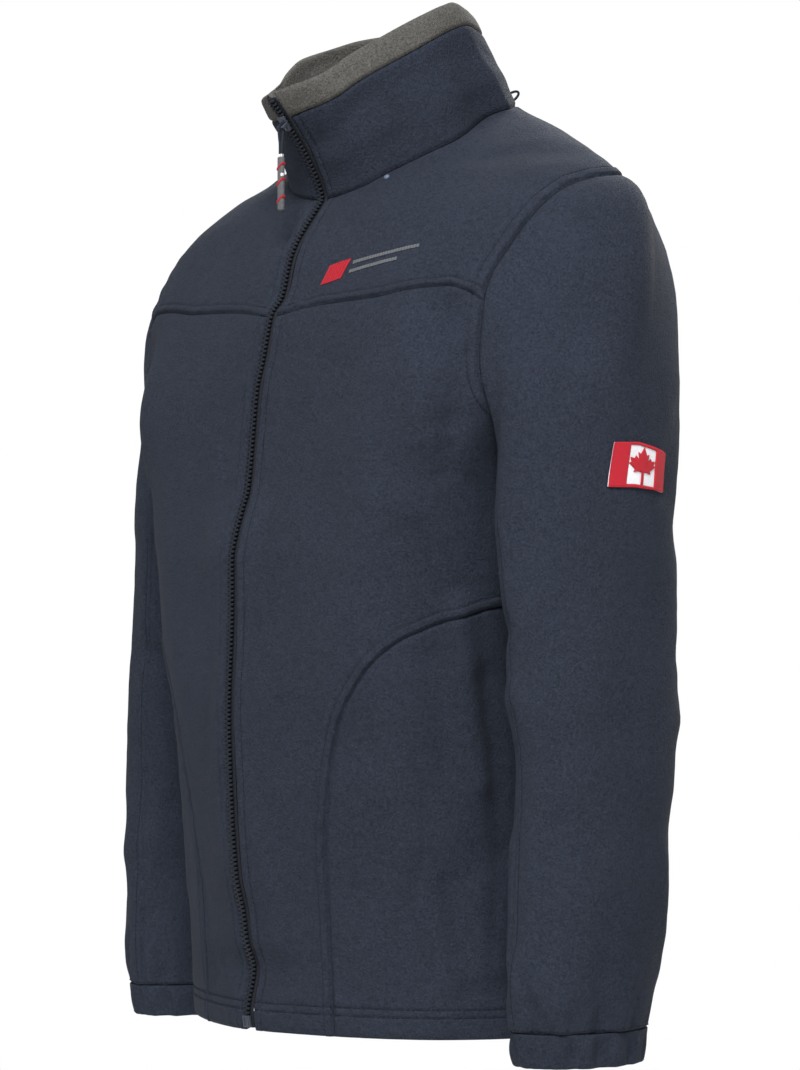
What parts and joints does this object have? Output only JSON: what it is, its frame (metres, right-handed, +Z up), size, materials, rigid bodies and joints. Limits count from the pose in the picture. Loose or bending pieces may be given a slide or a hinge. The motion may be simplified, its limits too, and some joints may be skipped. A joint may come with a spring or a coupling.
{
  "type": "fleece zip jacket",
  "caption": "Navy fleece jacket with a stand collar lined in grey, a full front zip, curved side panels and gathered cuffs.",
  "frame": {"origin": "the middle of the neck, level with the inner ends of the shoulders, where the wearer carries the jacket", "axes": "+Z up, the front faces -Y and the wearer's left is +X"},
  "size_m": [0.592, 0.3056, 0.7909],
  "materials": {
    "navy_fleece": "brushed polyester fleece, matt",
    "grey_fleece": "brushed polyester fleece, matt",
    "zip_tape": "woven polyester tape",
    "zip_plastic": "moulded",
    "zip_metal": "painted zinc",
    "pull_cord": "braided cord",
    "pull_grey": "flat grey cord",
    "patch_cloth": "woven and embroidered",
    "bead": "polished"
  },
  "bodies": {
    "jacket": {"front_left": "navy_fleece", "front_right": "navy_fleece", "pocket_panel_left": "navy_fleece", "pocket_panel_right": "navy_fleece", "yoke_left": "navy_fleece", "yoke_right": "navy_fleece", "back": "navy_fleece", "sleeve_left": "navy_fleece", "sleeve_right": "navy_fleece", "cuff_left": "navy_fleece", "cuff_right": "navy_fleece", "collar": "navy_fleece", "collar_facing": "grey_fleece", "zip_tape_left": "zip_tape", "zip_tape_right": "zip_tape", "zip_box": "zip_plastic", "zip_slider": "zip_metal", "flag_patch": "patch_cloth", "neck_loop": "pull_cord", "yoke_bead": "bead"},
    "pull": {"pull_loop": "pull_cord", "pull_tab": "pull_grey"}
  },
  "joints": [
    {"name": "pull_swing", "type": "hinge", "parent": "jacket", "child": "pull", "pos_m": [0, -0.13554, -0.0225], "axis": [1, 0, 0], "range_deg": [-130, 20]}
  ]
}
